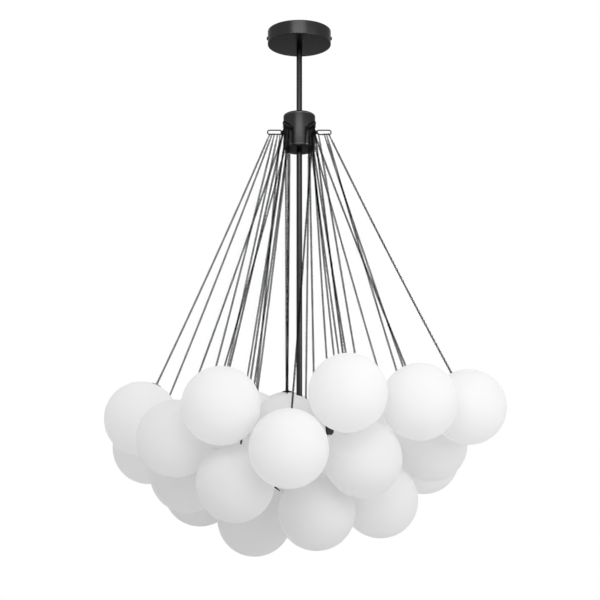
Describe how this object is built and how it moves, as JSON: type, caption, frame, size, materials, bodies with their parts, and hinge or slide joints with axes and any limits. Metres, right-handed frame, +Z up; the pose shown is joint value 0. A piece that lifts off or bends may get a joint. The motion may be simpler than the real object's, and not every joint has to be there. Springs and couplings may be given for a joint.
{
  "type": "globe chandelier",
  "caption": "Ceiling chandelier: a cluster of frosted glass globes hangs on fine chains from a drum with wire hooks on a straight stem.",
  "frame": {"origin": "centre of the ceiling face, on the stem's axis", "axes": "+Z up into the ceiling, -Y towards the front of the picture, +X to its right"},
  "size_m": [0.8044, 0.8555, 1.1295],
  "materials": {
    "black_metal": "satin black powder coat",
    "opal_glass": "frosted white",
    "zinc_steel": "zinc plated",
    "brass": "turned",
    "terminal_plastic": "moulded",
    "cable_sheath": "smooth sheath",
    "lampholder_black": "moulded",
    "lamp_glass": "satin"
  },
  "bodies": {
    "frame": {"ceiling_bracket": "zinc_steel", "bracket_nipple": "brass", "bracket_nuts": "zinc_steel", "canopy_cup": "black_metal", "canopy_screws": "black_metal", "earth_screw": "zinc_steel", "terminal_block": "terminal_plastic", "supply_cable": "cable_sheath", "stem_tube": "black_metal", "hub_body": "black_metal", "hub_top_cap": "black_metal", "hub_bottom_cap": "black_metal", "hub_collar": "zinc_steel", "collar_screws": "zinc_steel", "hook_loops": "black_metal", "hook_nuts": "zinc_steel", "lamp_carrier": "black_metal", "carrier_plate": "black_metal", "lampholders": "lampholder_black", "lamp_capsules": "lamp_glass", "centre_hanger": "black_metal", "hanger_nut": "zinc_steel", "nested_globe_01": "opal_glass", "nested_globe_02": "opal_glass", "nested_globe_03": "opal_glass", "nested_globe_04": "opal_glass", "nested_globe_05": "opal_glass", "nested_globe_06": "opal_glass", "nested_globe_07": "opal_glass", "nested_globe_08": "opal_glass", "nested_globe_09": "opal_glass", "nested_globe_10": "opal_glass", "middle_globe": "opal_glass", "inner_globes": "opal_glass", "inner_chains": "black_metal", "inner_caps": "black_metal"},
    "rim_01": {"rim_hanger_01": "black_metal", "rim_globe_01": "opal_glass"},
    "rim_02": {"rim_hanger_02": "black_metal", "rim_globe_02": "opal_glass"},
    "rim_03": {"rim_hanger_03": "black_metal", "rim_globe_03": "opal_glass"},
    "rim_04": {"rim_hanger_04": "black_metal", "rim_globe_04": "opal_glass"},
    "rim_05": {"rim_hanger_05": "black_metal", "rim_globe_05": "opal_glass"},
    "rim_06": {"rim_hanger_06": "black_metal", "rim_globe_06": "opal_glass"},
    "rim_07": {"rim_hanger_07": "black_metal", "rim_globe_07": "opal_glass"},
    "rim_08": {"rim_hanger_08": "black_metal", "rim_globe_08": "opal_glass"},
    "rim_09": {"rim_hanger_09": "black_metal", "rim_globe_09": "opal_glass"},
    "rim_10": {"rim_hanger_10": "black_metal", "rim_globe_10": "opal_glass"},
    "rim_11": {"rim_hanger_11": "black_metal", "rim_globe_11": "opal_glass"},
    "rim_12": {"rim_hanger_12": "black_metal", "rim_globe_12": "opal_glass"}
  },
  "joints": [
    {"name": "rim_01_swing", "type": "hinge", "parent": "frame", "child": "rim_01", "pos_m": [0.031, 0.05369, -0.2307], "axis": [0.7939, -0.6081, 0], "range_deg": [0, 12]},
    {"name": "rim_02_swing", "type": "hinge", "parent": "frame", "child": "rim_02", "pos_m": [0.0286, 0.04954, -0.2307], "axis": [0.9905, -0.1373, 0], "range_deg": [0, 12]},
    {"name": "rim_03_swing", "type": "hinge", "parent": "frame", "child": "rim_03", "pos_m": [-0.0286, 0.04954, -0.2307], "axis": [1, -0.0035, 0], "range_deg": [0, 12]},
    {"name": "rim_04_swing", "type": "hinge", "parent": "frame", "child": "rim_04", "pos_m": [-0.031, 0.05369, -0.2307], "axis": [0.9384, 0.3456, 0], "range_deg": [0, 12]},
    {"name": "rim_05_swing", "type": "hinge", "parent": "frame", "child": "rim_05", "pos_m": [-0.0572, 0, -0.2307], "axis": [0.4667, 0.8844, 0], "range_deg": [0, 12]},
    {"name": "rim_06_swing", "type": "hinge", "parent": "frame", "child": "rim_06", "pos_m": [-0.062, 0, -0.2307], "axis": [-0.0534, 0.9986, 0], "range_deg": [0, 12]},
    {"name": "rim_07_swing", "type": "hinge", "parent": "frame", "child": "rim_07", "pos_m": [-0.0286, -0.04954, -0.2307], "axis": [-0.5916, 0.8062, 0], "range_deg": [0, 12]},
    {"name": "rim_08_swing", "type": "hinge", "parent": "frame", "child": "rim_08", "pos_m": [-0.031, -0.05369, -0.2307], "axis": [-0.9158, 0.4016, 0], "range_deg": [0, 12]},
    {"name": "rim_09_swing", "type": "hinge", "parent": "frame", "child": "rim_09", "pos_m": [0.0286, -0.04954, -0.2307], "axis": [-0.9874, 0.1585, 0], "range_deg": [0, 12]},
    {"name": "rim_10_swing", "type": "hinge", "parent": "frame", "child": "rim_10", "pos_m": [0.031, -0.05369, -0.2307], "axis": [-0.9788, -0.205, 0], "range_deg": [0, 12]},
    {"name": "rim_11_swing", "type": "hinge", "parent": "frame", "child": "rim_11", "pos_m": [0.0262, -0.04538, -0.2307], "axis": [-0.6482, -0.7614, 0], "range_deg": [0, 12]},
    {"name": "rim_12_swing", "type": "hinge", "parent": "frame", "child": "rim_12", "pos_m": [0.062, 0, -0.2307], "axis": [-0.373, -0.9278, 0], "range_deg": [0, 12]}
  ]
}
